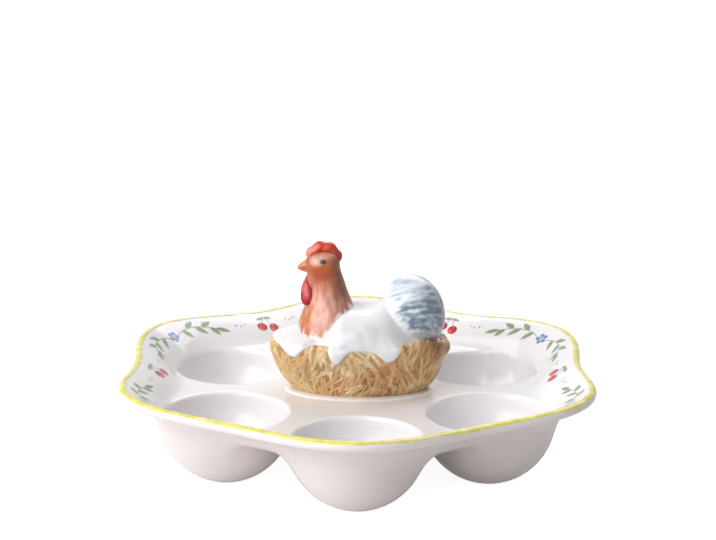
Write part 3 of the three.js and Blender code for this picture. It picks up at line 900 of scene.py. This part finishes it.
# The beak
# A short blunt cone of clay pressed onto the face, with the gape scored across its sides, painted dull orange.
beak_rows, beak_columns = 30, 40
beak_low, beak_high = node_box("hen_beak")
beak_tip, beak_height = beak_low[0], (beak_low[2] + beak_high[2]) / 2
beak_root, beak_radius = 6.5, 3.2
gape_place, gape_width, gape_depth = -0.18, 0.16, 0.14
beak_share = shares(beak_rows)
beak_round = all_round(beak_columns)
gape = np.exp(-((np.sin(beak_round) - gape_place) / gape_width) ** 2)
beak_girth = beak_radius * (1 - beak_share ** 1.9) ** 0.62 * (1 - gape_depth * gape)
beak_grid = np.stack([
    beak_tip + beak_root * (1 - beak_share) + 0 * beak_round,
    beak_girth * np.cos(beak_round) * 0.9,
    beak_height + 0.5 - 0.9 * beak_share ** 2 + beak_girth * np.sin(beak_round),
], -1)
beak_points = beak_grid.reshape(-1, 3)
beak_line = (np.linspace(1, 0.6, beak_rows)[:, None] * gape).ravel()
beak_paint = coated(linear("#D0804C"), ("#9C4526", 0.75 * beak_line + 0.3 * fractal(beak_points, 2)))
beak = make_piece(
    "hen_beak_form", [(beak_grid, True)], painted_enamel("beak_enamel", 1.5, 0.1, 0.2),
    beak_paint,
)
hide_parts("hen_beak")

# The wattles
# Two flat drops of clay that hang below the beak, one luted to each side, painted red, with a pink painted
# highlight on the upper middle of both sides.
wattle_rows, wattle_columns = 40, 32
wattle_widest = 0.64
wattle_fullness = 1.18
wattle_share = shares(wattle_rows)
wattle_round = all_round(wattle_columns)
wattle_girth = np.where(
    wattle_share < wattle_widest, np.sin(math.pi / 2 * wattle_share / wattle_widest) ** 1.3,
    np.sqrt(np.clip(1 - ((wattle_share - wattle_widest) / (1 - wattle_widest)) ** 2, 0, 1)),
)
wattle_lit = smoothstep(wattle_share, 0.1, 0.3) * (1 - smoothstep(wattle_share, 0.55, 0.85))
# Painted highlight: pink on the upper middle of both sides of each wattle.
wattle_painted_highlight = wattle_lit * np.exp(-(np.cos(wattle_round) / 0.45) ** 2)
wattle_paint = coated(linear("#BE1A28"), ("#F0908C", 0.85 * wattle_painted_highlight.ravel()))
for side in ("left", "right"):
    wattle_low, wattle_high = node_box("hen_wattle_" + side)
    wattle_mid, wattle_size = (wattle_low + wattle_high) / 2, wattle_high - wattle_low
    wattle_grid = np.stack([
        wattle_mid[0] + wattle_fullness * wattle_size[0] / 2 * wattle_girth * np.cos(wattle_round),
        wattle_mid[1] + wattle_size[1] / 2 * wattle_girth * np.sin(wattle_round),
        wattle_high[2] - wattle_size[2] * wattle_share + 0 * wattle_round,
    ], -1)
    wattle = make_piece(
        f"hen_wattle_{side}_form", [(wattle_grid, True)],
        painted_enamel(f"wattle_enamel_{side}", 2, 0.1, 0.16), wattle_paint,
    )
    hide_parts("hen_wattle_" + side)

# The tail
# An upright egg of clay luted to the back of the body. Its feathers are brushed on in curved blue-grey strokes,
# and its root and its foot stay white. Painted shade deepens its far end, and painted light pales its top.
tail_rows, tail_columns = 90, 144
tail_centre = np.array([tail_seat, 0, nest_crest + 12])
tail_half = np.array([14.6, 13.0, 17.7])
tail_lean = 1.4
stroke_hub = np.array([27.0, nest_crest - 1.4])
stroke_width, stroke_stretch, stroke_wrap = 1.8, 5.5, 0.3
root_place, root_slope, root_top = 14.5, 0.58, 22
tail_up = np.sin(np.linspace(-math.pi / 2, math.pi / 2, tail_rows))[:, None]
tail_girth = np.sqrt(np.clip(1 - tail_up ** 2, 0, 1))
tail_angle = all_round(tail_columns)
tail_grid = np.stack([
    tail_centre[0] - tail_up * tail_lean + tail_half[0] * tail_girth * np.cos(tail_angle),
    tail_half[1] * tail_girth * np.sin(tail_angle),
    tail_centre[2] + tail_half[2] * tail_up + 0 * tail_angle,
], -1)
tail_points = tail_grid.reshape(-1, 3)
tail_along, tail_over = tail_points[:, 0], tail_points[:, 2] - nest_crest
from_hub = tail_points[:, [0, 2]] - stroke_hub
hub_far = np.hypot(*from_hub.T)
hub_turn = np.arctan2(from_hub[:, 1], from_hub[:, 0])
stroke = fractal(np.c_[hub_far, hub_turn * stroke_stretch, tail_points[:, 1] * stroke_wrap], stroke_width, 2)
wash = fractal(tail_points, 7, 9)
toward_hub = 1 - smoothstep(hub_far, 14, 31)
# Painted shade on the tail's far end, away from the light, and painted light on its top.
painted_shade_right = smoothstep(tail_along, 26, 38)
painted_light_top = smoothstep(tail_over, 20, 28)
# How deep the blue-grey lies: strokes gather towards the hub, with painted shade at the far end and painted light
# on top.
depth = np.clip(0.3 + 0.8 * toward_hub + 0.8 * painted_shade_right - 0.35 * painted_light_top, 0, 1)
press = stroke + 0.5 * wash + 0.55 * toward_hub - 0.34
root_line = root_place + root_slope * (root_top - tail_over)
tail_paint = coated(
    linear("#E9EEF4"),
    ("#B4C4D5", 0.35 + 0.9 * stroke + 0.4 * wash + 0.35 * depth),
    ("#8295A9", depth * smoothstep(press, -0.4, 0.4)),
    ("#64778C", depth * smoothstep(press + 0.25 * painted_shade_right, 0.1, 0.9)),
    # painted shade down the far end, below the top
    ("#7C8EA2", 0.55 * painted_shade_right * (1 - painted_light_top)),
    ("#D5D9DF", 0.75 * (1 - smoothstep(tail_over + 3 * stroke, 4, 9))),  # foot
    ("#EDEFF2", 0.9 * (1 - smoothstep(tail_along - root_line + 3 * stroke, -2.5, 3.5))),  # root
)
tail = make_piece(
    "hen_tail_form", [(tail_grid, True)], painted_enamel("tail_enamel", 3, 0.08, 0.14),
    tail_paint,
)
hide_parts("hen_tail")

# The eyes
# Two small beads of dark brown enamel with a black middle, set by the tip of a brush on the sides of the head,
# each with a white painted glint.
eye_columns, eye_rows = 24, 8
eye_half_length, eye_half_height, eye_depth, eye_sink = 1.0925, 0.95, 0.5, 0.12
painted_glint_place, painted_glint_edge = (-0.3, 0.1), (0.12, 0.3)
pupil_edge = (0.45, 0.75)
eye_ring = neck_grid[np.argmin(np.abs(neck_grid[:, 0, 2] - nest_crest - eye_up))]
bead_turn = all_round(eye_columns)
bead_far = shares(eye_rows)
for side, name in ((-1, "near"), (1, "far")):
    from_eye = np.where(np.sign(eye_ring[:, 1]) == side, np.abs(eye_ring[:, 0] - eye_along), np.inf)
    seat = eye_ring[np.argmin(from_eye)]
    bead_grid = seat + np.stack([
        eye_half_length * bead_far * np.cos(bead_turn),
        side * (eye_depth * np.sqrt(1 - bead_far ** 2) - eye_sink) + 0 * bead_turn,
        eye_half_height * bead_far * np.sin(bead_turn),
    ], -1)
    bead_points = bead_grid.reshape(-1, 3)
    from_seat = (bead_points - seat)[:, [0, 2]]
    bead_paint = coated(
        linear("#160B07"),
        ("#4A2412", smoothstep(np.hypot(*from_seat.T), *pupil_edge)),
        # painted glint: a white dot standing in for a reflection
        ("#FFFFFF", 1 - smoothstep(np.hypot(*(from_seat - painted_glint_place).T), *painted_glint_edge)),
    )
    make_piece(
        "hen_eye_" + name, [(bead_grid, True)], painted_enamel("eye_enamel_" + name, 1, 0.05, 0.1),
        bead_paint,
    )

# The table and the backdrop
# A sweep of white paper under and behind the plate. The camera sees it as plain white, a little darker where the
# plate keeps the light from it, and the glaze mirrors it more faintly.
sweep_half = 6000
paper_seen, paper_mirrored = 0.9, 0.25
sweep_mesh = bpy.data.meshes.new("white_sweep")
sweep_mesh.from_pydata(
    [(x * sweep_half * MM, y * sweep_half * MM, 0) for x, y in ((-1, -1), (1, -1), (1, 1), (-1, 1))],
    [], [(0, 1, 2, 3)],
)
sweep = bpy.data.objects.new("white_sweep", sweep_mesh)
scene.collection.objects.link(sweep)


def seen_share(tree, direct, mirrored):
    """Socket with one share for what the camera sees, another for what shiny and clear surfaces show, else 0."""
    path = add_node(tree, "ShaderNodeLightPath").outputs
    shiny = {0: path["Is Glossy Ray"], 1: path["Is Transmission Ray"]}
    shiny_ray = add_node(tree, "ShaderNodeMath", shiny, operation="MAXIMUM").outputs["Value"]
    share = {0: shiny_ray, 1: mirrored}
    shiny_share = add_node(tree, "ShaderNodeMath", share, operation="MULTIPLY").outputs["Value"]
    both = {0: path["Is Camera Ray"], 1: direct, 2: shiny_share}
    return add_node(tree, "ShaderNodeMath", both, operation="MULTIPLY_ADD").outputs["Value"]


# Matt white paper, rolled smooth: the eye sees an even white with no gloss, and only the plate's soft shadow.
sweep_paper = bpy.data.materials.new("white_paper")
sweep_paper.use_nodes = True
paper_tree = sweep_paper.node_tree
paper_tree.nodes.remove(paper_tree.nodes["Principled BSDF"])
paper = add_node(paper_tree, "ShaderNodeBsdfDiffuse", {"Color": rgba("#E8E0DB")})
glow = add_node(paper_tree, "ShaderNodeEmission", {"Strength": seen_share(paper_tree, paper_seen, paper_mirrored)})
lit_paper = add_node(paper_tree, "ShaderNodeAddShader", {0: paper.outputs["BSDF"], 1: glow.outputs["Emission"]})
paper_tree.links.new(lit_paper.outputs["Shader"], paper_tree.nodes["Material Output"].inputs["Surface"])
sweep_mesh.materials.append(sweep_paper)

# The light
# A large soft box on the left in front, a weaker one high behind, and a pale room round them. The camera and the
# glaze see the room as plain white.
room_strength = 0.18
plate_middle = (0, 0, 0.04)
world = bpy.data.worlds.new("white_room")
scene.world = world
world.use_nodes = True
room_tree = world.node_tree
backdrop = add_node(room_tree, "ShaderNodeBackground", {"Color": rgba("#FFFFFF"), "Strength": 1.0})
room = room_tree.nodes["Background"]
room.inputs["Color"].default_value = rgba("#FCFBFF")
room.inputs["Strength"].default_value = room_strength
sight = add_node(room_tree, "ShaderNodeMixShader", {
    0: seen_share(room_tree, 1, 1), 1: room.outputs["Background"], 2: backdrop.outputs["Background"],
})
room_tree.links.new(sight.outputs["Shader"], room_tree.nodes["World Output"].inputs["Surface"])


def soft_box(name, place, size, power):
    """A lamp behind a sheet of cloth, of a size in metres and a power in watts, turned to the plate."""
    lamp = bpy.data.lights.new(name, "AREA")
    lamp.shape = "RECTANGLE"
    lamp.size, lamp.size_y = size
    lamp.energy = power
    holder = bpy.data.objects.new(name, lamp)
    holder.location = place
    holder.rotation_euler = (Vector(plate_middle) - Vector(place)).to_track_quat("-Z", "Y").to_euler()
    scene.collection.objects.link(holder)


soft_box("key_box", (-0.95, -0.62, 0.88), (1.8, 1.8), 29.5)
soft_box("back_box", (0.3, 0.8, 1.0), (1.2, 0.7), 7)

# The camera
# It stands where the photograph was taken from, low in front of the plate, with a hair of roll.
camera_place = Vector((0, -0.8006, 0.2895))
camera_drop = math.radians(14.19)
camera_roll = math.radians(0.302)
focal_pixels, photo_width = 1815.1, 716
lens_data = bpy.data.cameras.new("photo_camera")
lens_data.sensor_width = 36
lens_data.lens = lens_data.sensor_width * focal_pixels / photo_width
lens_data.clip_start, lens_data.clip_end = 0.05, 50
camera = bpy.data.objects.new("photo_camera", lens_data)
camera.matrix_world = (
    Matrix.Translation(camera_place)
    @ Matrix.Rotation(math.pi / 2 - camera_drop, 4, "X")
    @ Matrix.Rotation(camera_roll, 4, "Z")
)
scene.collection.objects.link(camera)
scene.camera = camera
scene.view_settings.view_transform = "Standard"

bpy.context.view_layer.update()
